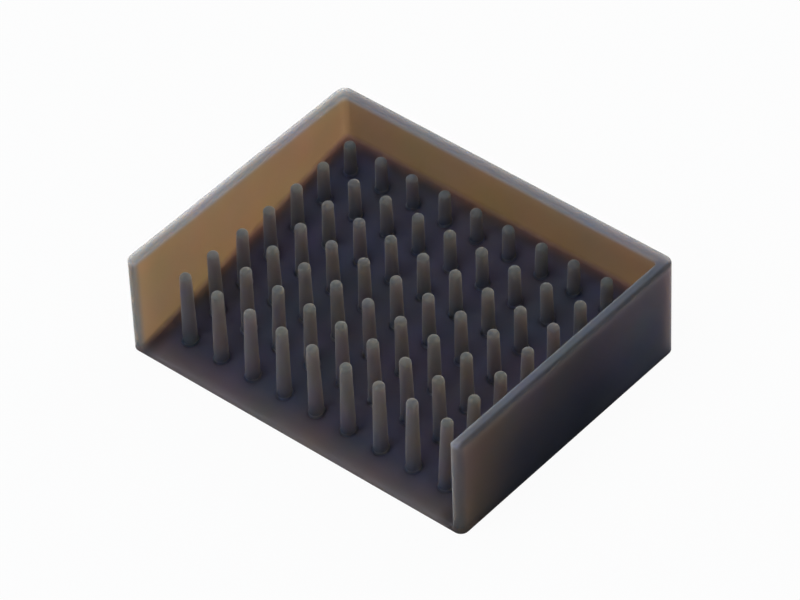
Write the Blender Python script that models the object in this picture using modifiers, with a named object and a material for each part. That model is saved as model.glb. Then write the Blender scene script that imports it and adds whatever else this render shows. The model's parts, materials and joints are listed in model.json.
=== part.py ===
"""Silicone soap dish, in metres, +Z up.

A tray with three walls and an open front. Its floor slopes down to a thin lip at the front, so that water runs
out there, and it is hollow below. Rows of tapered pegs stand on the slope with all their tips at one height.
Every row but the last is made of separate pegs that bend just above their roots. The last row is too short to
bend and is moulded to the tray.

The origin is at the middle of the footprint, on the table. X runs along the open front, and Y to the back.
"""

from math import asin, cos, pi, radians, sin

import bmesh
import bpy

# Outside of the moulding
LENGTH = 0.120
DEPTH = 0.0935
HEIGHT = 0.0336
BACK_CORNER_RADIUS = 0.003
FRONT_CORNER_RADIUS = 0.0025

# Walls, which thin out towards the rim so that the moulding leaves its tool
WALL_BASE = 0.0036
WALL_RIM = 0.0035
RIM_ROUND = 0.0009

# Floor, with its heights measured on its upper side
LIP_HEIGHT = 0.0014
FLOOR_BACK_HEIGHT = 0.0191
FLOOR_THICKNESS = 0.0021
BAY_CORNER_RADIUS = 0.0016
BAY_FILLET = 0.0012

# Hollow below the floor, behind a solid foot under the lip
FOOT_DEPTH = 0.009
HOLLOW_FILLET = 0.0010

# Grid of pegs
PEG_COLUMNS = 9
PEG_ROWS = 7
PEG_MARGIN = 0.0136
FIRST_ROW_SETBACK = 0.0099

# One peg
TIP_HEIGHT = 0.0282
TIP_RADIUS = 0.0017
TIP_DOME = 0.0013
PEG_DRAFT = radians(1.2)
ROOT_FLARE = 0.0004
ROOT_FLARE_HEIGHT = 0.0009

# Bend of a separate peg: its foot is round about its pivot, and sits over a dish of the same centre in its root
BEND_RADIUS = 0.0030
BEND_GAP = 0.0003
DISH_HEIGHT = 0.0008

# Finish
SILICONE_COLOUR = (0.085, 0.072, 0.070, 1.0)
SILICONE_ROUGHNESS = 0.45

# Fineness of curves, and what the modelling steps need
PEG_SIDES = 12
DOME_STEPS = 3
BEND_STEPS = 2
CORNER_STEPS = 4
FILLET_STEPS = 2
CUT_OVERRUN = 0.004
MERGE_DISTANCE = 0.00001
ON_PLANE = 0.00002
SHARP_ANGLE = radians(40)

HALF_LENGTH = LENGTH / 2
HALF_DEPTH = DEPTH / 2
FLOOR_SLOPE = (FLOOR_BACK_HEIGHT - LIP_HEIGHT) / (DEPTH - WALL_BASE)
COLUMN_PITCH = (LENGTH - 2 * PEG_MARGIN) / (PEG_COLUMNS - 1)
ROW_PITCH = (DEPTH - FIRST_ROW_SETBACK - PEG_MARGIN) / (PEG_ROWS - 1)


def floor_height(y):
    """Height of the floor's upper side at a place along the depth."""
    return LIP_HEIGHT + FLOOR_SLOPE * (y + HALF_DEPTH)


def wall_thickness(z):
    """Thickness of a wall at a height, thinner towards the rim."""
    return WALL_BASE + (WALL_RIM - WALL_BASE) * z / HEIGHT


def peg_radius(z):
    """Radius of a peg's tapered side at a height."""
    return TIP_RADIUS + PEG_DRAFT * (TIP_HEIGHT - TIP_DOME - z)


def column_x(column):
    return PEG_MARGIN - HALF_LENGTH + COLUMN_PITCH * (column - 1)


def row_y(row):
    return FIRST_ROW_SETBACK - HALF_DEPTH + ROW_PITCH * (row - 1)


def new_collection(name):
    collection = bpy.data.collections.new(name)
    bpy.context.scene.collection.children.link(collection)
    return collection


def new_object(name, mesh, collection, place=(0, 0, 0)):
    thing = bpy.data.objects.new(name, mesh)
    thing.location = place
    collection.objects.link(thing)
    return thing


def new_guide(name, mesh, collection, place=(0, 0, 0)):
    """An object that only shapes others, shown as wires."""
    guide = new_object(name, mesh, collection, place)
    guide.hide_render = True
    guide.display_type = 'WIRE'
    return guide


def silicone(name):
    """Smoky grey silicone rubber."""
    material = bpy.data.materials.new(name)
    material.use_nodes = True
    shader = material.node_tree.nodes["Principled BSDF"]
    shader.inputs["Base Color"].default_value = SILICONE_COLOUR
    shader.inputs["Roughness"].default_value = SILICONE_ROUGHNESS
    shader.inputs["Metallic"].default_value = 0
    return material


def box_shape(corner):
    """A box whose eight corners go where corner puts each (left, front, low)."""
    shape = bmesh.new()
    bmesh.ops.create_cube(shape, size=2)
    for vertex in shape.verts:
        left, front, low = (value < 0 for value in vertex.co)
        vertex.co = corner(left, front, low)
    return shape


def round_edges(shape, edges, radius, steps):
    bmesh.ops.bevel(shape, geom=edges, offset=radius, segments=steps, profile=0.5, affect='EDGES',
                    clamp_overlap=True)


def upright_edges(shape, front):
    """Edges that join the low and high side of a box, at its front or at its back."""
    ends = []
    for edge in shape.edges:
        one, other = (vertex.co for vertex in edge.verts)
        run = max(abs(one.x - other.x), abs(one.y - other.y))
        if run < abs(one.z - other.z) and (one.y < 0) == front:
            ends.append(edge)
    return ends


def as_mesh(shape, name):
    mesh = bpy.data.meshes.new(name)
    shape.to_mesh(mesh)
    shape.free()
    return mesh


def block_mesh():
    """Outside of the tray as a solid block with rounded upright corners."""
    def corner(left, front, low):
        x = -HALF_LENGTH if left else HALF_LENGTH
        y = -HALF_DEPTH if front else HALF_DEPTH
        return x, y, 0 if low else HEIGHT

    shape = box_shape(corner)
    round_edges(shape, upright_edges(shape, front=False), BACK_CORNER_RADIUS, CORNER_STEPS)
    round_edges(shape, upright_edges(shape, front=True), FRONT_CORNER_RADIUS, CORNER_STEPS)
    return as_mesh(shape, "tray")


def bay_mesh():
    """Space between the walls and above the floor, open to the front and the top."""
    def corner(left, front, low):
        back_y = HALF_DEPTH - wall_thickness(FLOOR_BACK_HEIGHT)
        z = floor_height(-HALF_DEPTH - CUT_OVERRUN if front else back_y) if low else HEIGHT + CUT_OVERRUN
        y = -HALF_DEPTH - CUT_OVERRUN if front else HALF_DEPTH - wall_thickness(z)
        x = HALF_LENGTH - wall_thickness(z)
        return -x if left else x, y, z

    shape = box_shape(corner)
    round_edges(shape, upright_edges(shape, front=False), BAY_CORNER_RADIUS, FILLET_STEPS)
    shape.normal_update()
    floor = min(shape.faces, key=lambda face: face.normal.z)
    edges = [edge for edge in floor.edges if max(vertex.co.y for vertex in edge.verts) > -HALF_DEPTH]
    round_edges(shape, edges, BAY_FILLET, FILLET_STEPS)
    return as_mesh(shape, "bay")


def hollow_mesh():
    """Space under the sloping floor, open to the table."""
    def corner(left, front, low):
        x = HALF_LENGTH - WALL_BASE
        y = FOOT_DEPTH - HALF_DEPTH if front else HALF_DEPTH - WALL_BASE
        return -x if left else x, y, -CUT_OVERRUN if low else floor_height(y) - FLOOR_THICKNESS

    shape = box_shape(corner)
    round_edges(shape, upright_edges(shape, front=False), BAY_CORNER_RADIUS, FILLET_STEPS)
    shape.normal_update()
    ceiling = max(shape.faces, key=lambda face: face.normal.z)
    round_edges(shape, list(ceiling.edges), HOLLOW_FILLET, FILLET_STEPS)
    return as_mesh(shape, "hollow")


def profile_mesh(name, points):
    """Half outline of a turned shape, from its top down the +X side."""
    mesh = bpy.data.meshes.new(name)
    edges = [(index, index + 1) for index in range(len(points) - 1)]
    mesh.from_pydata([(radius, 0, z) for radius, z in points], edges, [])
    return mesh


def turn(thing):
    """Turn a profile about the object's upright axis."""
    screw = thing.modifiers.new("Turn", 'SCREW')
    screw.steps = PEG_SIDES
    screw.render_steps = PEG_SIDES
    screw.use_merge_vertices = True
    screw.merge_threshold = MERGE_DISTANCE
    return thing


def repeat_along_row(thing):
    """Copy one peg or root to every column of its row."""
    row = thing.modifiers.new("Columns", 'ARRAY')
    row.count = PEG_COLUMNS
    row.use_relative_offset = False
    row.use_constant_offset = True
    row.constant_offset_displace = (COLUMN_PITCH, 0, 0)
    return thing


def tip_points():
    """Round tip, from its highest point to where the tapered side starts."""
    points = []
    for step in range(DOME_STEPS + 1):
        angle = pi / 2 * (1 - step / DOME_STEPS)
        points.append((TIP_RADIUS * cos(angle), TIP_HEIGHT - TIP_DOME + TIP_DOME * sin(angle)))
    points[0] = (0, TIP_HEIGHT)
    return points


def pivot_height(row):
    return floor_height(row_y(row)) + DISH_HEIGHT + BEND_GAP + BEND_RADIUS


def round_about_pivot(pivot_z, radius):
    """Arc about a peg's pivot, from below the pivot outwards to the peg's side."""
    widest = asin(peg_radius(pivot_z - radius) / radius)
    angles = [widest * step / BEND_STEPS for step in range(BEND_STEPS + 1)]
    return [(radius * sin(angle), pivot_z - radius * cos(angle)) for angle in angles]


def root_points(floor_z):
    """Flared root of a peg, from above the flare down to the floor's low side and on into its thickness."""
    top_z = floor_z + ROOT_FLARE_HEIGHT
    top_radius = peg_radius(top_z)
    wide_radius = top_radius + ROOT_FLARE
    wide_z = floor_z - FLOOR_SLOPE * wide_radius
    sunk_z = floor_z - FLOOR_THICKNESS / 2
    return [(top_radius, top_z), (wide_radius, wide_z), (wide_radius, sunk_z), (0, sunk_z)]


def moulded_row(row, collection):
    """What the tray carries of a row: dished roots, or whole pegs in the last row."""
    if row == PEG_ROWS:
        top = tip_points()
    else:
        top = round_about_pivot(pivot_height(row), BEND_RADIUS + BEND_GAP)
    mesh = profile_mesh(f"roots_row_{row}", top + root_points(floor_height(row_y(row))))
    guide = new_guide(f"roots_row_{row}", mesh, collection, (column_x(1), row_y(row), 0))
    return repeat_along_row(turn(guide))


def bending_row(row, collection):
    """Separate pegs of one row, each with its origin on the line that the row bends about."""
    pivot_z = pivot_height(row)
    foot = reversed(round_about_pivot(pivot_z, BEND_RADIUS))
    outline = [(radius, z - pivot_z) for radius, z in tip_points() + list(foot)]
    mesh = profile_mesh(f"peg_row_{row}", outline)
    mesh.materials.append(silicone(f"silicone_row_{row}"))
    for column in range(1, PEG_COLUMNS + 1):
        place = (column_x(column), row_y(row), pivot_z)
        turn(new_object(f"peg_row_{row}_col_{column}", mesh, collection, place))


def add_boolean(thing, operation, guide=None, collection=None):
    boolean = thing.modifiers.new(operation.title(), 'BOOLEAN')
    boolean.operation = operation
    boolean.solver = 'EXACT'
    if collection:
        boolean.operand_type = 'COLLECTION'
        boolean.collection = collection
    else:
        boolean.object = guide


def rim_edges(shape):
    """Sharp edges along the top of the walls and round the mouth of the bay."""
    edges = []
    for edge in shape.edges:
        if edge.calc_face_angle(0) < SHARP_ANGLE:
            continue
        ends = [vertex.co for vertex in edge.verts]
        on_top = all(end.z > HEIGHT - ON_PLANE for end in ends)
        on_front = all(end.y < ON_PLANE - HALF_DEPTH and end.z > ON_PLANE for end in ends)
        if on_top or on_front:
            edges.append(edge)
    return edges


def tray(parts, guides, roots):
    """The moulding: walls, sloping floor with its lip, hollow below, roots and the last row of pegs."""
    body = new_object("tray", block_mesh(), parts)
    add_boolean(body, 'DIFFERENCE', new_guide("bay", bay_mesh(), guides))
    add_boolean(body, 'DIFFERENCE', new_guide("hollow", hollow_mesh(), guides))
    graph = bpy.context.evaluated_depsgraph_get()
    carved = bpy.data.meshes.new_from_object(body.evaluated_get(graph))
    body.modifiers.clear()

    shape = bmesh.new()
    shape.from_mesh(carved)
    bmesh.ops.remove_doubles(shape, verts=shape.verts, dist=MERGE_DISTANCE)
    round_edges(shape, rim_edges(shape), RIM_ROUND, FILLET_STEPS)
    body.data = as_mesh(shape, "tray")
    bpy.data.meshes.remove(carved)

    for row in range(1, PEG_ROWS + 1):
        moulded_row(row, roots)
    add_boolean(body, 'UNION', collection=roots)
    body.data.materials.append(silicone("silicone_tray"))
    body.data.shade_smooth()
    body.data.set_sharp_from_angle(angle=SHARP_ANGLE)


def main():
    for thing in list(bpy.data.objects):
        bpy.data.objects.remove(thing)
    parts = new_collection("silicone_soap_dish")
    guides = new_collection("guides")
    roots = new_collection("moulded_rows")
    tray(parts, guides, roots)
    for row in range(1, PEG_ROWS):
        bending_row(row, parts)


main()
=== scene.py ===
# %% [markdown]
# # A soft silicone soap dish
# This dish is one moulding of smoky, see-through grey silicone: a tray with three walls and a floor that
# slopes down to a thin lip, and sixty-three tapered pegs, so that what lies on them dries. The packed
# model gives every place and size. Here each visible form is modelled again with fine rounding, and gets a
# silicone that lets light through. Everything is in metres, with the table at zero height, the front lip
# towards -Y and up +Z.

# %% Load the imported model
import json
import random
from math import cos, pi, radians, sin, tan

import bmesh
import bpy
from mathutils import Matrix, Vector


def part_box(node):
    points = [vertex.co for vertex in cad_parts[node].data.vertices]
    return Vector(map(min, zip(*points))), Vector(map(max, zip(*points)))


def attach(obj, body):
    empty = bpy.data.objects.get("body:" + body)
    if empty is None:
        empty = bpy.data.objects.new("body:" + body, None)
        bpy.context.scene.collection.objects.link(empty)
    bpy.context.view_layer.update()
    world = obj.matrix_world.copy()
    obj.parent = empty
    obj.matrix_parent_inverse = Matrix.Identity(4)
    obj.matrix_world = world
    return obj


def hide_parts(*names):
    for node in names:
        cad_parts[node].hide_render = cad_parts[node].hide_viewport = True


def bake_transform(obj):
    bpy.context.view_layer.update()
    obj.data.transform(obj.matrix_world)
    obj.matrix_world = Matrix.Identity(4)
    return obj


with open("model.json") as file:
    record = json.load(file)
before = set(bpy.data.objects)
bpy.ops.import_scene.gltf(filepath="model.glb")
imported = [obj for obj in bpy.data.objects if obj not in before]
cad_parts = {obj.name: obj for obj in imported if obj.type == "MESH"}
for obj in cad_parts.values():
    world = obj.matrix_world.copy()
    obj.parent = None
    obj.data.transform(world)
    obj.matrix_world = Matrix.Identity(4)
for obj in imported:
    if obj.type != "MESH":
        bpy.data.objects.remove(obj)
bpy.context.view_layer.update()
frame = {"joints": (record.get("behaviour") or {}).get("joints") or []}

# %% [markdown]
# ## Sizes
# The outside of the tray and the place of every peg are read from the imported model, so the fine pieces
# cannot drift away from the solids. What a box cannot tell, such as the thickness of a wall or the height
# of the floor, is named here once.

# %% Outside of the tray, read from its node
tray_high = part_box("tray")[1]
HALF_LENGTH = tray_high.x
HALF_DEPTH = tray_high.y
HEIGHT = tray_high.z
print("tray, half length, half depth, height:", HALF_LENGTH, HALF_DEPTH, HEIGHT)

# %% Walls and floor
WALL_BASE = 0.0036
WALL_RIM = 0.0035
LIP_HEIGHT = 0.0014
FLOOR_BACK_HEIGHT = 0.0191
FLOOR_THICKNESS = 0.0021
FOOT_DEPTH = 0.009
FLOOR_SLOPE = (FLOOR_BACK_HEIGHT - LIP_HEIGHT) / (2 * HALF_DEPTH - WALL_BASE)


def floor_height(y):
    """Height of the floor's upper side."""
    return LIP_HEIGHT + FLOOR_SLOPE * (y + HALF_DEPTH)


def wall_thickness(z):
    """The walls thin out towards the rim, so that the moulding leaves its tool."""
    return WALL_BASE + (WALL_RIM - WALL_BASE) * z / HEIGHT


print("floor height at the back wall:", round(floor_height(HALF_DEPTH - WALL_BASE), 4))

# %% [markdown]
# ## Tray
# The real tray has no sharp edge that shows: the rims are rounded by a bit under a millimetre, and the
# floor runs into the walls in a fillet. It could be cut out of a block with Booleans, but their ragged
# faces shade badly beside a soft edge. So it starts as a cube. Cuts mark where the walls stand, the face
# between them is pushed down to make the bay, another is pushed up from below to make the hollow, and every
# edge is then bevelled in its own radius.

# %% Helpers for picking faces and edges
TINY = 0.00002
CUT_DISTANCE = TINY / 10


def flat_faces(shape, axis, value):
    """Faces that lie in one plane square to an axis."""
    return [face for face in shape.faces
            if all(abs(vertex.co[axis] - value) < TINY for vertex in face.verts)]


def nearest_face(faces, place):
    return min(faces, key=lambda face: (face.calc_center_median() - Vector(place)).length)


def edges_where(shape, test):
    """Edges with both ends where test says."""
    return [edge for edge in shape.edges if all(test(vertex.co) for vertex in edge.verts)]


def push(shape, face):
    """Extrude one face and give back the corners of its new end, ready to be moved."""
    pushed = bmesh.ops.extrude_face_region(shape, geom=[face])["geom"]
    if face.is_valid:
        bmesh.ops.delete(shape, geom=[face], context='FACES_ONLY')
    return [item for item in pushed if isinstance(item, bmesh.types.BMVert)]


def round_edges(shape, edges, radius, steps):
    bmesh.ops.bevel(shape, geom=edges, offset=radius, offset_type='OFFSET', affect='EDGES', segments=steps,
                    profile=0.5, material=-1, clamp_overlap=True)


# %% The block, with cuts where the walls meet the bay
RIM_X = HALF_LENGTH - WALL_RIM
RIM_Y = HALF_DEPTH - WALL_RIM

shape = bmesh.new()
bmesh.ops.create_cube(shape, size=1)
bmesh.ops.scale(shape, vec=(2 * HALF_LENGTH, 2 * HALF_DEPTH, HEIGHT), verts=shape.verts)
bmesh.ops.translate(shape, vec=(0, 0, HEIGHT / 2), verts=shape.verts)
for place, normal in (((RIM_X, 0, 0), (1, 0, 0)), ((-RIM_X, 0, 0), (1, 0, 0)), ((0, RIM_Y, 0), (0, 1, 0))):
    everything = shape.verts[:] + shape.edges[:] + shape.faces[:]
    bmesh.ops.bisect_plane(shape, geom=everything, plane_co=place, plane_no=normal, dist=CUT_DISTANCE)
print("block after its cuts:", len(shape.faces), "faces")

# %% Push the bay down to the sloping floor and open its front
bmesh.ops.delete(shape, geom=flat_faces(shape, 1, -HALF_DEPTH), context='FACES')
bay = nearest_face(flat_faces(shape, 2, HEIGHT), (0, 0, HEIGHT))
for vertex in push(shape, bay):
    if vertex.co.y > 0:
        vertex.co.y = HALF_DEPTH - wall_thickness(FLOOR_BACK_HEIGHT)
    vertex.co.z = floor_height(vertex.co.y)
    inner_x = HALF_LENGTH - wall_thickness(vertex.co.z)
    vertex.co.x = inner_x if vertex.co.x > 0 else -inner_x
bmesh.ops.delete(shape, geom=flat_faces(shape, 1, -HALF_DEPTH), context='FACES')
bmesh.ops.delete(shape, geom=[edge for edge in shape.edges if edge.is_wire], context='EDGES')
bmesh.ops.holes_fill(shape, edges=[edge for edge in shape.edges if edge.is_boundary], sides=0)
closed = all(edge.is_manifold for edge in shape.edges)
print("bay open at the front:", len(shape.faces), "faces,", "closed" if closed else "not closed")

# %% Take out the cuts that have done their work
# Their ends would hold back every bevel beside them, down to a rounding of next to nothing.
FLAT_ANGLE = radians(0.5)

bmesh.ops.dissolve_limit(shape, angle_limit=FLAT_ANGLE, use_dissolve_boundaries=False, verts=shape.verts,
                         edges=shape.edges)
print("without the cuts:", len(shape.faces), "faces")

# %% Push the hollow up from below, behind a solid foot under the lip
HOLLOW_X = HALF_LENGTH - WALL_BASE
HOLLOW_BACK = HALF_DEPTH - WALL_BASE
HOLLOW_FRONT = FOOT_DEPTH - HALF_DEPTH


def cut_face(shape, face, place, normal):
    """Cut one face in two along a plane, and give back the part that the normal points away from."""
    pieces = bmesh.ops.bisect_plane(shape, geom=[face] + list(face.edges) + list(face.verts), plane_co=place,
                                    plane_no=normal, dist=CUT_DISTANCE)["geom"]
    faces = [piece for piece in pieces if isinstance(piece, bmesh.types.BMFace)]
    return min(faces, key=lambda item: (item.calc_center_median() - Vector(place)).dot(Vector(normal)))


base = flat_faces(shape, 2, 0)[0]
for place, normal in (((0, HOLLOW_BACK, 0), (0, 1, 0)), ((0, HOLLOW_FRONT, 0), (0, -1, 0)),
                      ((HOLLOW_X, 0, 0), (1, 0, 0)), ((-HOLLOW_X, 0, 0), (-1, 0, 0))):
    base = cut_face(shape, base, place, normal)
for vertex in push(shape, base):
    vertex.co.z = floor_height(vertex.co.y) - FLOOR_THICKNESS
print("hollow below:", len(shape.faces), "faces")

# %% Round the upright corners
BACK_CORNER_RADIUS = 0.003
FRONT_CORNER_RADIUS = 0.0025
INNER_CORNER_RADIUS = 0.0018
CORNER_STEPS = 8
INNER_STEPS = 6
SHORTEST_UPRIGHT = HEIGHT / 4


def upright(edge):
    run = edge.verts[0].co - edge.verts[1].co
    return abs(run.z) > SHORTEST_UPRIGHT and abs(run.z) > 2 * max(abs(run.x), abs(run.y))


def uprights(shape, test):
    return [edge for edge in edges_where(shape, test) if upright(edge)]


def at_back_corner(co):
    return abs(co.x) > HALF_LENGTH - TINY and co.y > HALF_DEPTH - TINY


def at_front_corner(co):
    return abs(co.x) > HALF_LENGTH - TINY and co.y < TINY - HALF_DEPTH


def inside_at_back(co):
    """Within the walls, which leaves out the new edges of the rounded corners outside."""
    return abs(co.x) < RIM_X + TINY and 0 < co.y < RIM_Y + TINY


round_edges(shape, uprights(shape, at_back_corner), BACK_CORNER_RADIUS, CORNER_STEPS)
round_edges(shape, uprights(shape, at_front_corner), FRONT_CORNER_RADIUS, CORNER_STEPS)
inner_corners = uprights(shape, inside_at_back)
print("corners of bay and hollow:", len(inner_corners))
round_edges(shape, inner_corners, INNER_CORNER_RADIUS, INNER_STEPS)
print("corners rounded:", len(shape.faces), "faces")

# %% Fillet between floor and walls
FLOOR_FILLET = 0.0013
FLOOR_STEPS = 6
HOLLOW_FILLET = 0.0010
HOLLOW_STEPS = 3
ON_PLANE = 2 * TINY


def on_floor(co):
    return abs(co.z - floor_height(co.y)) < ON_PLANE


def under_floor(co):
    return abs(co.z - floor_height(co.y) + FLOOR_THICKNESS) < ON_PLANE and co.y > HOLLOW_FRONT - TINY


def behind_front(edge):
    """Not the lip's own edge, along the front."""
    return max(vertex.co.y for vertex in edge.verts) > TINY - HALF_DEPTH


floor_edges = [edge for edge in edges_where(shape, on_floor) if behind_front(edge)]
round_edges(shape, floor_edges, FLOOR_FILLET, FLOOR_STEPS)
round_edges(shape, edges_where(shape, under_floor), HOLLOW_FILLET, HOLLOW_STEPS)
print("fillets made:", len(shape.faces), "faces")

# %% Rounded rims, wall ends and lip
RIM_ROUND = 0.0009
RIM_STEPS = 6
SOLE_ROUND = 0.0003
SOLE_STEPS = 3
SHARP_ANGLE = radians(40)
MERGE_DISTANCE = TINY / 4


def sharp(edge):
    return edge.is_manifold and edge.calc_face_angle(0) > SHARP_ANGLE


def on_rim(co):
    return co.z > HEIGHT - TINY or (co.y < TINY - HALF_DEPTH and co.z > TINY)


def on_sole(co):
    return co.z < TINY


rims = [edge for edge in edges_where(shape, on_rim) if sharp(edge)]
round_edges(shape, rims, RIM_ROUND, RIM_STEPS)
soles = [edge for edge in edges_where(shape, on_sole) if sharp(edge)]
round_edges(shape, soles, SOLE_ROUND, SOLE_STEPS)
bmesh.ops.remove_doubles(shape, verts=shape.verts, dist=MERGE_DISTANCE)
bmesh.ops.recalc_face_normals(shape, faces=shape.faces)
print("rims rounded:", len(shape.faces), "faces")

# %% Make the tray's object


def as_piece(shape, name):
    """A finished object at the origin, smooth, with its place in its mesh."""
    mesh = bpy.data.meshes.new(name)
    shape.to_mesh(mesh)
    shape.free()
    mesh.shade_smooth()
    piece = bpy.data.objects.new(name, mesh)
    bpy.context.scene.collection.objects.link(piece)
    return piece


tray = as_piece(shape, "moulded_tray")
flat = tray.modifiers.new("Flat faces stay flat", 'WEIGHTED_NORMAL')
flat.keep_sharp = True
print("tray:", len(tray.data.polygons), "faces")

# %% [markdown]
# ## Pegs
# Each peg is a soft finger: round at the tip, a little wider towards its root, where a small fillet carries
# it into the floor. A turned shape is made best by spinning half its outline. The floor slopes, so the
# root's rings are then tilted to lie in it. No two soft pegs stand quite alike, so each gets a small lean
# of its own.

# %% Half outline of a peg, from its root up
TIP_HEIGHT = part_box("peg_row_1_col_1")[1].z
TIP_RADIUS = 0.0017
TIP_DOME = 0.0014
PEG_DRAFT = radians(1.2)
ROOT_FILLET = 0.0004
ROOT_SUNK = 0.0004
FILLET_STEPS = 6
SIDE_STEPS = 10
DOME_STEPS = 7
PEG_SIDES = 32


def side_radius(depth):
    """Radius of the tapered side at a depth below the dome."""
    return TIP_RADIUS + tan(PEG_DRAFT) * depth


def peg_outline(length):
    """Points (radius, height above the floor) from below the floor to the tip."""
    side = length - TIP_DOME
    root = side_radius(side - ROOT_FILLET)
    points = [(0, -ROOT_SUNK), (root + ROOT_FILLET, -ROOT_SUNK)]
    for step in range(FILLET_STEPS + 1):
        angle = pi / 2 * step / FILLET_STEPS
        points.append((root + ROOT_FILLET * (1 - sin(angle)), ROOT_FILLET * (1 - cos(angle))))
    for step in range(1, SIDE_STEPS):
        height = ROOT_FILLET + (side - ROOT_FILLET) * step / SIDE_STEPS
        points.append((side_radius(side - height), height))
    for step in range(DOME_STEPS + 1):
        angle = pi / 2 * step / DOME_STEPS
        points.append((TIP_RADIUS * cos(angle), side + TIP_DOME * sin(angle)))
    return points


print("outline of a front peg:", len(peg_outline(TIP_HEIGHT - LIP_HEIGHT)), "points")

# %% Turn one peg and set it on the slope
SLOPE_REACH = 0.0025
LEAN_CURVE = 1.5


def share_between(value):
    return min(max(value, 0), 1)


def add_peg(shape, x, y, lean_x, lean_y):
    """Spin a peg's outline, tilt its root into the floor and lean it."""
    floor_z = floor_height(y)
    length = TIP_HEIGHT - floor_z
    chain = [shape.verts.new((radius, 0, height)) for radius, height in peg_outline(length)]
    edges = [shape.edges.new(pair) for pair in zip(chain, chain[1:])]
    bmesh.ops.spin(shape, geom=chain + edges, cent=(0, 0, 0), axis=(0, 0, 1), dvec=(0, 0, 0), angle=2 * pi,
                   steps=PEG_SIDES, use_merge=True, use_duplicate=False)
    for vertex in [vertex for vertex in shape.verts if not vertex.tag]:
        lean = share_between(vertex.co.z / length) ** LEAN_CURVE
        low = 1 - share_between(vertex.co.z / SLOPE_REACH)
        smooth_low = low * low * (3 - 2 * low)
        vertex.co.z += floor_z + FLOOR_SLOPE * vertex.co.y * smooth_low
        vertex.co.x += x + lean_x * lean
        vertex.co.y += y + lean_y * lean
        vertex.tag = True


print("roots lie in the slope up to", SLOPE_REACH * 1000, "mm above the floor")

# %% Where the pegs stand, read from their nodes
COLUMNS = 9
BENDING_ROWS = 6


def node_middle(row, column):
    low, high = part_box(f"peg_row_{row}_col_{column}")
    return (low + high) / 2


column_x = [node_middle(1, column).x for column in range(1, COLUMNS + 1)]
row_y = [node_middle(row, 1).y for row in range(1, BENDING_ROWS + 1)]
row_y.append(2 * row_y[-1] - row_y[-2])
print("columns:", [round(x, 4) for x in column_x])
print("rows:", [round(y, 4) for y in row_y])

# %% How each peg leans: as the photograph shows it, or by a small chance of its own
LEAN_SPREAD = 0.00012
LEANING = {
    (1, 3): (0.0004, 0), (1, 4): (0.0004, 0), (1, 8): (0, 0.0005), (1, 9): (0.0006, 0.0006),
    (2, 1): (-0.0001, -0.0002), (2, 2): (0, 0.0004), (2, 3): (0.0003, 0.0003), (2, 4): (0.0003, 0.0001),
    (2, 9): (0.0006, 0.0003), (3, 9): (0.0005, 0), (4, 9): (0.0003, 0.0003), (5, 9): (-0.0002, 0.0002)}
print("pegs with a lean of their own in the photograph:", len(LEANING))

# %% All pegs, one piece for each row
soft = random.Random(11)
rows = []
for row, y in enumerate(row_y, start=1):
    shape = bmesh.new()
    for column, x in enumerate(column_x, start=1):
        chance = (soft.gauss(0, LEAN_SPREAD), soft.gauss(0, LEAN_SPREAD))
        add_peg(shape, x, y, *LEANING.get((row, column), chance))
    bmesh.ops.remove_doubles(shape, verts=shape.verts, dist=CUT_DISTANCE)
    bmesh.ops.recalc_face_normals(shape, faces=shape.faces)
    rows.append(as_piece(shape, f"pegs_row_{row}"))
    print(rows[-1].name, len(rows[-1].data.polygons), "faces")

# %% [markdown]
# ## Silicone
# Silicone rubber tinted a smoky grey takes up blue light faster than red. Seen against the light, a thin
# wall glows amber, while the thick floor with nothing bright below it stays almost black. A painted colour
# could fake that from one side only. Subsurface scattering does it from every side: the light walks through
# the wall, and a longer way in red than in blue gives the amber. Painted light and shade are added on top,
# in a tint that depends on the place on the dish: a painted glow at the lip and on the walls, a painted
# bluish sheen on rims, wall ends and tips, and painted shade low down. A cloudy depth varies at random, and
# the skin has a fine satin grain.

# %% Small helpers for node trees


def new_group(name, inputs, outputs):
    """An empty node group with typed sockets, its input node and its output node."""
    group = bpy.data.node_groups.new(name, 'ShaderNodeTree')
    for direction, sockets in (('INPUT', inputs), ('OUTPUT', outputs)):
        for socket, kind in sockets.items():
            group.interface.new_socket(socket, in_out=direction, socket_type=f"NodeSocket{kind}")
    return group, group.nodes.new('NodeGroupInput'), group.nodes.new('NodeGroupOutput')


def feed(tree, value, socket):
    """Link a socket, or set a number, three numbers or a colour."""
    if isinstance(value, bpy.types.NodeSocket):
        tree.links.new(value, socket)
    else:
        socket.default_value = value


def add_math(tree, operation, one, other=0):
    """A Math node whose inputs are sockets or numbers; gives back its output."""
    node = tree.nodes.new('ShaderNodeMath')
    node.operation = operation
    feed(tree, one, node.inputs[0])
    feed(tree, other, node.inputs[1])
    return node.outputs["Value"]


def add_vector_math(tree, operation, one, other):
    """A Vector Math node whose inputs are sockets or threes of numbers."""
    node = tree.nodes.new('ShaderNodeVectorMath')
    node.operation = operation
    feed(tree, one, node.inputs[0])
    feed(tree, other, node.inputs[1])
    return node.outputs["Vector"]


def add_fade(tree, value, start, end):
    """Smooth step from 0 where value is at start to 1 where it is at end."""
    node = tree.nodes.new('ShaderNodeMapRange')
    node.interpolation_type = 'SMOOTHSTEP'
    feed(tree, value, node.inputs["Value"])
    feed(tree, start, node.inputs["From Min"])
    feed(tree, end, node.inputs["From Max"])
    return node.outputs["Result"]


def add_tint(tree, share, one, other):
    """Mix of two colours, each a socket or four numbers."""
    node = tree.nodes.new('ShaderNodeMix')
    node.data_type = 'RGBA'
    tree.links.new(share, node.inputs["Factor"])
    for name, colour in (("A", one), ("B", other)):
        feed(tree, colour, next(item for item in node.inputs if item.name == name and item.type == 'RGBA'))
    return next(item for item in node.outputs if item.type == 'RGBA')


# %% Group: where a point lies on the dish


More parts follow.
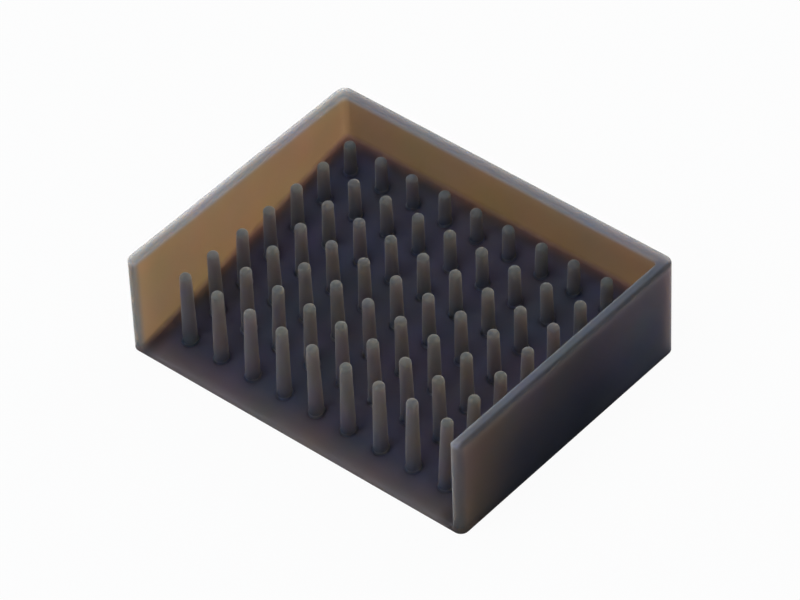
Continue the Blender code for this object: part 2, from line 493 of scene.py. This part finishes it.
def make_place_group():
    """Heights and distances of a shaded point, from which the tints take their fades."""
    group, _, result = new_group("place_on_dish", {}, {
        "Above Floor": "Float", "Below Rim": "Float", "From Front": "Float", "From Outside": "Float"})
    place = group.nodes.new('ShaderNodeTexCoord')
    parts = group.nodes.new('ShaderNodeSeparateXYZ')
    group.links.new(place.outputs["Object"], parts.inputs["Vector"])
    x, y, z = parts.outputs["X"], parts.outputs["Y"], parts.outputs["Z"]
    from_front = add_math(group, 'ADD', y, HALF_DEPTH)
    floor = add_math(group, 'ADD', add_math(group, 'MULTIPLY', from_front, FLOOR_SLOPE), LIP_HEIGHT)
    group.links.new(add_math(group, 'SUBTRACT', z, floor), result.inputs["Above Floor"])
    group.links.new(add_math(group, 'SUBTRACT', HEIGHT, z), result.inputs["Below Rim"])
    group.links.new(from_front, result.inputs["From Front"])
    from_side = add_math(group, 'SUBTRACT', HALF_LENGTH, add_math(group, 'ABSOLUTE', x))
    from_back = add_math(group, 'SUBTRACT', HALF_DEPTH, y)
    group.links.new(add_math(group, 'MINIMUM', from_side, from_back), result.inputs["From Outside"])
    return group


place_group = make_place_group()
print("group:", place_group.name)

# %% Group: cloudy tint and fine satin grain
CLOUD_DETAIL = 2
GRAIN_DETAIL = 4
NOISE_MIDDLE = (0.5, 0.5, 0.5)
UNCHANGED = (1, 1, 1)


def make_cloud_group():
    """Clouds swing the tint about its middle, each channel by its own depth, and grain varies the gloss."""
    group, given, result = new_group(
        "silicone_cloud",
        {"Tint": "Color", "Cloud Scale": "Float", "Cloud Depth": "Vector", "Grain Scale": "Float",
         "Smoothest": "Float", "Roughest": "Float"},
        {"Color": "Color", "Roughness": "Float", "Height": "Float"})
    place = group.nodes.new('ShaderNodeTexCoord')

    cloud = group.nodes.new('ShaderNodeTexNoise')
    cloud.inputs["Detail"].default_value = CLOUD_DETAIL
    group.links.new(place.outputs["Object"], cloud.inputs["Vector"])
    group.links.new(given.outputs["Cloud Scale"], cloud.inputs["Scale"])
    swing = add_vector_math(group, 'SUBTRACT', cloud.outputs["Color"], NOISE_MIDDLE)
    deep_swing = add_vector_math(group, 'MULTIPLY', swing, given.outputs["Cloud Depth"])
    level = add_vector_math(group, 'ADD', deep_swing, UNCHANGED)
    group.links.new(add_vector_math(group, 'MULTIPLY', given.outputs["Tint"], level), result.inputs["Color"])

    grain = group.nodes.new('ShaderNodeTexNoise')
    grain.inputs["Detail"].default_value = GRAIN_DETAIL
    group.links.new(place.outputs["Object"], grain.inputs["Vector"])
    group.links.new(given.outputs["Grain Scale"], grain.inputs["Scale"])
    matt = group.nodes.new('ShaderNodeMapRange')
    group.links.new(grain.outputs["Fac"], matt.inputs["Value"])
    group.links.new(given.outputs["Smoothest"], matt.inputs["To Min"])
    group.links.new(given.outputs["Roughest"], matt.inputs["To Max"])
    group.links.new(matt.outputs["Result"], result.inputs["Roughness"])
    group.links.new(grain.outputs["Fac"], result.inputs["Height"])
    return group


cloud_group = make_cloud_group()
print("group:", cloud_group.name)

# %% Silicone, shared by both materials
GRAIN_SCALE = 1800
GRAIN_DEPTH = 0.00002
GRAIN_STRENGTH = 0.35
SMOOTHEST = 0.40
ROUGHEST = 0.56
SILICONE_IOR = 1.41
ENTRY_IOR = 1.01
FORWARD_SHARE = 0.8
SHEEN_LEVEL = 0.02


def make_silicone(name, paint_tint, cloud_scale, cloud_depth, light_walk, light_reach):
    """Silicone whose tint comes from paint_tint(tree, place outputs)."""
    material = bpy.data.materials.new(name)
    material.use_nodes = True
    tree = material.node_tree
    shader = tree.nodes["Principled BSDF"]
    place = tree.nodes.new('ShaderNodeGroup')
    place.node_tree = place_group
    cloud = tree.nodes.new('ShaderNodeGroup')
    cloud.node_tree = cloud_group
    for socket, value in (("Cloud Scale", cloud_scale), ("Cloud Depth", cloud_depth),
                          ("Grain Scale", GRAIN_SCALE), ("Smoothest", SMOOTHEST), ("Roughest", ROUGHEST)):
        cloud.inputs[socket].default_value = value
    tree.links.new(paint_tint(tree, place.outputs), cloud.inputs["Tint"])
    bump = tree.nodes.new('ShaderNodeBump')
    bump.inputs["Strength"].default_value = GRAIN_STRENGTH
    bump.inputs["Distance"].default_value = GRAIN_DEPTH
    tree.links.new(cloud.outputs["Color"], shader.inputs["Base Color"])
    tree.links.new(cloud.outputs["Roughness"], shader.inputs["Roughness"])
    tree.links.new(cloud.outputs["Height"], bump.inputs["Height"])
    tree.links.new(bump.outputs["Normal"], shader.inputs["Normal"])
    shader.inputs["IOR"].default_value = SILICONE_IOR
    shader.inputs["Specular IOR Level"].default_value = SHEEN_LEVEL
    shader.subsurface_method = 'RANDOM_WALK_SKIN'
    shader.inputs["Subsurface Weight"].default_value = 1
    shader.inputs["Subsurface IOR"].default_value = ENTRY_IOR
    shader.inputs["Subsurface Anisotropy"].default_value = FORWARD_SHARE
    shader.inputs["Subsurface Radius"].default_value = light_reach
    shader.inputs["Subsurface Scale"].default_value = light_walk
    return material


print("grain every", round(1 / GRAIN_SCALE, 5), "m")

# %% [markdown]
# ## Tints of the tray
# The moulding is all of one stuff, yet its tint looks different with its thickness and with what lies
# behind it. Most tints below paint that light and shade into the colour: painted glow where light comes
# through, painted shade where little reaches, painted sheen on the rims. Each tint belongs to one region,
# and each fade says between which two distances the next tint takes over.

# %% Floor: dark in the middle, with painted shade and a warm painted glow beside the walls, and a painted glow at the thin lip
FLOOR_TINT = (0.094, 0.082, 0.112, 1)
# Painted shade and amber glow beside the walls, where a wall shades the floor and light comes through it.
FLOOR_SIDE_PAINTED_SHADE_AND_GLOW = (0.064, 0.050, 0.058, 1)
# Painted glow at the thin lip, where light comes in from its front and from the table below.
LIP_PAINTED_GLOW = (0.190, 0.130, 0.126, 1)
FLOOR_SIDE_SHADE_FADE = (0.0105, 0.0050)
LIP_GLOW_FADE = (0.010, -0.001)


def floor_tint_and_painted_light(tree, place):
    side = add_fade(tree, place["From Outside"], *FLOOR_SIDE_SHADE_FADE)
    lip = add_fade(tree, place["From Front"], *LIP_GLOW_FADE)
    return add_tint(tree, side, add_tint(tree, lip, FLOOR_TINT, LIP_PAINTED_GLOW), FLOOR_SIDE_PAINTED_SHADE_AND_GLOW)


print("floor goes pale from", LIP_GLOW_FADE[0], "m behind the lip")

# %% Walls inside, with a painted amber glow of the light through them, and painted shade on the base below the floor
# Partly the silicone's own brown, partly a painted amber glow of the light through the wall.
WALL_TINT_AND_PAINTED_GLOW = (0.053, 0.042, 0.033, 1)
# Painted glow, warmer towards the front end of the walls.
WALL_FRONT_PAINTED_GLOW = (0.064, 0.045, 0.036, 1)
# Painted shade below the floor, where the hollow is dark.
BELOW_FLOOR_PAINTED_SHADE = (0.014, 0.015, 0.020, 1)
WALL_FADE = (-0.0001, 0.0010)
WALL_FRONT_GLOW_FADE = (0.010, 0.002)
BELOW_FLOOR_SHADE_FADE = (-0.0015, -0.006)


def inner_tint_and_painted_light(tree, place, floor, wall):
    front = add_fade(tree, place["From Front"], *WALL_FRONT_GLOW_FADE)
    below = add_fade(tree, place["Above Floor"], *BELOW_FLOOR_SHADE_FADE)
    colour = add_tint(tree, wall, floor, add_tint(tree, front, WALL_TINT_AND_PAINTED_GLOW, WALL_FRONT_PAINTED_GLOW))
    return add_tint(tree, below, colour, BELOW_FLOOR_PAINTED_SHADE)


print("walls start", WALL_FADE[1], "m above the floor")

# %% Walls outside, all painted light: painted shade, dark and bluish low down, a painted glow browner at the front and paler towards the back corner
# Painted shade: the outside is tinted darker and bluer than the inside walls.
OUTER_WALL_PAINTED_SHADE = (0.031, 0.030, 0.045, 1)
# Painted glow of light through the front end of the walls.
OUTER_FRONT_PAINTED_GLOW = (0.050, 0.043, 0.044, 1)
# Painted shade low down on the outside.
OUTER_LOW_PAINTED_SHADE = (0.009, 0.013, 0.028, 1)
# Painted glow of light coming from behind through the back corner.
BACK_CORNER_PAINTED_GLOW = (0.076, 0.072, 0.096, 1)
OUTER_LOW_SHADE_FADE = (0.000, 0.024)
OUTER_LOW_SHADE_BACK_FADE = (0.000, 0.030)
OUTER_FRONT_GLOW_FADE = (0.012, 0.038)
BACK_CORNER_GLOW_FADE = (2 * HALF_DEPTH - 0.044, 2 * HALF_DEPTH)


def outer_painted_light(tree, place):
    low = add_math(tree, 'MULTIPLY', add_fade(tree, place["Below Rim"], *OUTER_LOW_SHADE_FADE),
                   add_fade(tree, place["From Front"], *OUTER_LOW_SHADE_BACK_FADE))
    behind = add_fade(tree, place["From Front"], *OUTER_FRONT_GLOW_FADE)
    corner = add_fade(tree, place["From Front"], *BACK_CORNER_GLOW_FADE)
    colour = add_tint(tree, low, add_tint(tree, behind, OUTER_FRONT_PAINTED_GLOW, OUTER_WALL_PAINTED_SHADE), OUTER_LOW_PAINTED_SHADE)
    return add_tint(tree, corner, colour, BACK_CORNER_PAINTED_GLOW)


print("outside goes pale over the last", round(BACK_CORNER_GLOW_FADE[1] - BACK_CORNER_GLOW_FADE[0], 3), "m")

# %% Painted sheen on rims and wall ends, painted shade on the rims' outer edge, and the whole tray
# Painted sheen: the rims are tinted pale and bluish for the cool light reflected off them.
RIM_PAINTED_SHEEN = (0.056, 0.071, 0.105, 1)
# Painted shade along the outer edge of the rims.
RIM_OUTER_PAINTED_SHADE = (0.010, 0.014, 0.023, 1)
# Painted sheen: a cool blue-grey on the front ends of the walls.
WALL_END_PAINTED_SHEEN = (0.026, 0.032, 0.043, 1)
OUTER_FADE = (0.0030, 0.0012)
WALL_END_SHEEN_FADE = (0.0028, 0.0004)
RIM_SHEEN_FADE = (0.0022, 0.0003)
RIM_OUTER_SHADE_FADE = (0.0014, 0.0004)


def tray_tint_and_painted_light(tree, place):
    wall = add_fade(tree, place["Above Floor"], *WALL_FADE)
    outer = add_fade(tree, place["From Outside"], *OUTER_FADE)
    end = add_math(tree, 'MULTIPLY', add_fade(tree, place["From Front"], *WALL_END_SHEEN_FADE), wall)
    rim = add_fade(tree, place["Below Rim"], *RIM_SHEEN_FADE)
    rim_outer_shade = add_fade(tree, place["From Outside"], *RIM_OUTER_SHADE_FADE)
    colour = inner_tint_and_painted_light(tree, place, floor_tint_and_painted_light(tree, place), wall)
    colour = add_tint(tree, outer, colour, outer_painted_light(tree, place))
    colour = add_tint(tree, end, colour, WALL_END_PAINTED_SHEEN)
    return add_tint(tree, rim, colour, add_tint(tree, rim_outer_shade, RIM_PAINTED_SHEEN, RIM_OUTER_PAINTED_SHADE))


TRAY_CLOUD_SCALE = 45
TRAY_CLOUD_DEPTH = (0.6, 0.3, 0.6)
TRAY_WALK = 0.0050
TRAY_REACH = (1.0, 0.81, 0.65)
tray_silicone = make_silicone("tray_silicone", tray_tint_and_painted_light, TRAY_CLOUD_SCALE, TRAY_CLOUD_DEPTH, TRAY_WALK,
                              TRAY_REACH)
print("material:", tray_silicone.name, "with", len(tray_silicone.node_tree.nodes), "nodes")

# %% [markdown]
# ## Tints of the pegs
# A peg stands free in the light. Its side is a greyer brown than a wall. Its lower part carries painted
# shade, its flare is painted pale to lift the dark ring at the root, and its domed tip has the painted
# bluish sheen of the rims.

# %% Peg silicone
# Painted shade on the lower part of each peg, near the floor.
PEG_ROOT_PAINTED_SHADE = (0.034, 0.038, 0.060, 1)
SIDE_TINT = (0.051, 0.049, 0.066, 1)
# Painted light on the flare: pale, to lift the dark ring at the root.
FLARE_PAINTED_LIGHT = (0.150, 0.145, 0.190, 1)
# Painted sheen: the tip is tinted bluish like the rims.
TIP_PAINTED_SHEEN = (0.034, 0.043, 0.055, 1)
PEG_ROOT_SHADE_FADE = (0.001, 0.012)
FLARE_LIGHT_FADE = (0.0009, 0.0002)
TIP_SHEEN_FADE_DEPTH = 0.003


def peg_tint_and_painted_light(tree, place):
    tips_below_rim = HEIGHT - TIP_HEIGHT
    up = add_fade(tree, place["Above Floor"], *PEG_ROOT_SHADE_FADE)
    tip = add_fade(tree, place["Below Rim"], tips_below_rim + TIP_SHEEN_FADE_DEPTH, tips_below_rim)
    flare = add_fade(tree, place["Above Floor"], *FLARE_LIGHT_FADE)
    colour = add_tint(tree, flare, add_tint(tree, up, PEG_ROOT_PAINTED_SHADE, SIDE_TINT), FLARE_PAINTED_LIGHT)
    return add_tint(tree, tip, colour, TIP_PAINTED_SHEEN)


PEG_CLOUD_SCALE = 90
PEG_CLOUD_DEPTH = (0.45, 0.35, 0.45)
PEG_WALK = 0.0041
PEG_REACH = (1.0, 0.81, 0.60)
peg_silicone = make_silicone("peg_silicone", peg_tint_and_painted_light, PEG_CLOUD_SCALE, PEG_CLOUD_DEPTH, PEG_WALK,
                             PEG_REACH)
print("material:", peg_silicone.name, "with", len(peg_silicone.node_tree.nodes), "nodes")

# %% [markdown]
# ## Dressing the tray and the pegs
# A real peg bends just above its root, where it is one with the floor. The imported model swings each of the
# front six rows on a hinge there. Here those rows are only dressed, and their imported pegs hidden. The
# short pegs of the last row stay with the tray.

# %% Dress the tray and tie it to its body
tray.data.materials.append(tray_silicone)
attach(tray, "tray")
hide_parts("tray")
print("tray wears", tray.data.materials[0].name)

# %% Dress the rows of pegs, tie the last row to the tray, and hide the imported pegs of the rows that bend
joints = {joint["child"]: joint for joint in frame["joints"]}
for row, piece in enumerate(rows, start=1):
    piece.data.materials.append(peg_silicone)
    body = f"peg_row_{row}"
    if body not in joints:
        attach(piece, "tray")
        continue
    y = row_y[row - 1]
    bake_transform(piece)
    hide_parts(*[f"{body}_col_{column}" for column in range(1, COLUMNS + 1)])
print("rows that bend:", len(joints))

# %% [markdown]
# ## Camera
# The photograph is taken from the front right and well above, from far away, so that the edges run almost
# parallel. A long lens far from the dish gives the same drawing.

# %% Camera at the photograph's angle
CAMERA_TARGET = Vector((-0.00454, 0.00472, 0.012))
CAMERA_TURN = radians(41.686)
CAMERA_RISE = radians(43.127)
CAMERA_ROLL = radians(-2.511)
CAMERA_DISTANCE = 1.4645
CAMERA_LENS = 236.47
CAMERA_NEAR = 0.1


def away_from_dish(turn, rise):
    """Direction from the dish at an angle about it, with zero towards the front, and an angle up."""
    return Vector((sin(turn) * cos(rise), -cos(turn) * cos(rise), sin(rise)))


back = away_from_dish(CAMERA_TURN, CAMERA_RISE)
right = Vector((cos(CAMERA_TURN), sin(CAMERA_TURN), 0))
level = Matrix((right, back.cross(right), back)).transposed()
turn = level @ Matrix.Rotation(CAMERA_ROLL, 3, 'Z')

camera_data = bpy.data.cameras.new("camera")
camera_data.lens = CAMERA_LENS
camera_data.clip_start = CAMERA_NEAR
camera = bpy.data.objects.new("camera", camera_data)
camera.matrix_world = Matrix.Translation(CAMERA_TARGET + back * CAMERA_DISTANCE) @ turn.to_4x4()
bpy.context.scene.collection.objects.link(camera)
bpy.context.scene.camera = camera
print("camera at", [round(value, 3) for value in camera.matrix_world.translation])

# %% [markdown]
# ## Table and background
# The dish stands on a white table before white. Lit white enough to look so, the table would pour light
# into the dish from all sides. So both table and room show as plain white to the camera and in reflections,
# through Light Path, while the light that they give the dish stays low. The table keeps a small share of
# its own shading, which is the dish's soft shadow.

# %% White table
TABLE_SIZE = 3.0
TABLE_COLOUR = (0.92, 0.92, 0.92, 1)
TABLE_ROUGHNESS = 0.7
SHADOW_SHARE = 0.05
WHITE = (1, 1, 1, 1)


def add_seen(tree):
    """1 for a ray that the eye follows: straight, mirrored or through something clear."""
    path = tree.nodes.new('ShaderNodeLightPath')
    seen = add_math(tree, 'MAXIMUM', path.outputs["Is Camera Ray"], path.outputs["Is Glossy Ray"])
    return add_math(tree, 'MAXIMUM', seen, path.outputs["Is Transmission Ray"])


def mix_into(tree, share, one, other, surface):
    """Mix two shaders by a share and link the mix to an output's surface."""
    mix = tree.nodes.new('ShaderNodeMixShader')
    tree.links.new(share, mix.inputs["Fac"])
    tree.links.new(one, mix.inputs[1])
    tree.links.new(other, mix.inputs[2])
    tree.links.new(mix.outputs["Shader"], surface)


shape = bmesh.new()
bmesh.ops.create_grid(shape, x_segments=1, y_segments=1, size=TABLE_SIZE / 2)
bmesh.ops.translate(shape, vec=(0, 0, -TINY), verts=shape.verts)
table = as_piece(shape, "table")
table_material = bpy.data.materials.new("white_table")
table_material.use_nodes = True
tree = table_material.node_tree
paint = tree.nodes["Principled BSDF"]
paint.inputs["Base Color"].default_value = TABLE_COLOUR
paint.inputs["Roughness"].default_value = TABLE_ROUGHNESS
white = tree.nodes.new('ShaderNodeEmission')
white.inputs["Color"].default_value = WHITE
white.inputs["Strength"].default_value = 1
share = add_math(tree, 'MULTIPLY', add_seen(tree), 1 - SHADOW_SHARE)
mix_into(tree, share, paint.outputs["BSDF"], white.outputs["Emission"],
         tree.nodes["Material Output"].inputs["Surface"])
table.data.materials.append(table_material)
print("table:", TABLE_SIZE, "m wide, with", SHADOW_SHARE, "of its own shading")

# %% White room
WORLD_LEVEL = 0.14
WORLD_COLOUR = (0.80, 0.90, 1.0, 1)

world = bpy.data.worlds.new("white_room")
world.use_nodes = True
bpy.context.scene.world = world
tree = world.node_tree
room = tree.nodes["Background"]
room.inputs["Color"].default_value = WORLD_COLOUR
room.inputs["Strength"].default_value = WORLD_LEVEL
paper = tree.nodes.new('ShaderNodeBackground')
paper.inputs["Color"].default_value = WHITE
paper.inputs["Strength"].default_value = 1
mix_into(tree, add_seen(tree), room.outputs["Background"], paper.outputs["Background"],
         tree.nodes["World Output"].inputs["Surface"])
print("room light:", WORLD_LEVEL)

# %% [markdown]
# ## Studio light
# The walls glow because light comes through them. A long, low strip lamp stands to the left and a little
# behind, at table height: it shines through the left wall and along the left sides of the pegs, and leaves
# the floor dark. A square lamp straight behind shines through the back wall. A cool fill from the front and
# a weak lamp overhead give the rims, the tips and the right wall their soft grey. One broad lamp could
# light all of this, but then the floor would be as bright as the walls.

# %% Lamps
COOL = (0.92, 0.97, 1.0)
COOLER = (0.82, 0.91, 1.0)
PLAIN = (1, 1, 1)


def add_lamp(name, turn, rise, distance, width, height, power, colour):
    """Soft area lamp that faces the dish, placed by its angle about the dish."""
    data = bpy.data.lights.new(name, 'AREA')
    data.shape = 'RECTANGLE'
    data.size = width
    data.size_y = height
    data.energy = power
    data.color = colour
    lamp = bpy.data.objects.new(name, data)
    away = away_from_dish(turn, rise)
    lamp.location = away * distance
    lamp.rotation_mode = 'QUATERNION'
    lamp.rotation_quaternion = away.to_track_quat('Z', 'Y')
    bpy.context.scene.collection.objects.link(lamp)
    print("lamp:", name, [round(value, 2) for value in lamp.location])


add_lamp("key", turn=radians(-100), rise=radians(0.75), distance=1.4, width=0.8, height=0.024, power=23.0,
         colour=COOL)
add_lamp("back_light", turn=radians(-180), rise=radians(25), distance=1.2, width=0.6, height=0.6, power=4.4,
         colour=PLAIN)
add_lamp("overhead", turn=radians(-60), rise=radians(80), distance=1.2, width=0.9, height=0.9, power=2,
         colour=PLAIN)
add_lamp("fill", turn=radians(-10), rise=radians(55), distance=1.2, width=0.9, height=0.9, power=5.2,
         colour=COOLER)
bpy.context.scene.view_settings.view_transform = 'Standard'
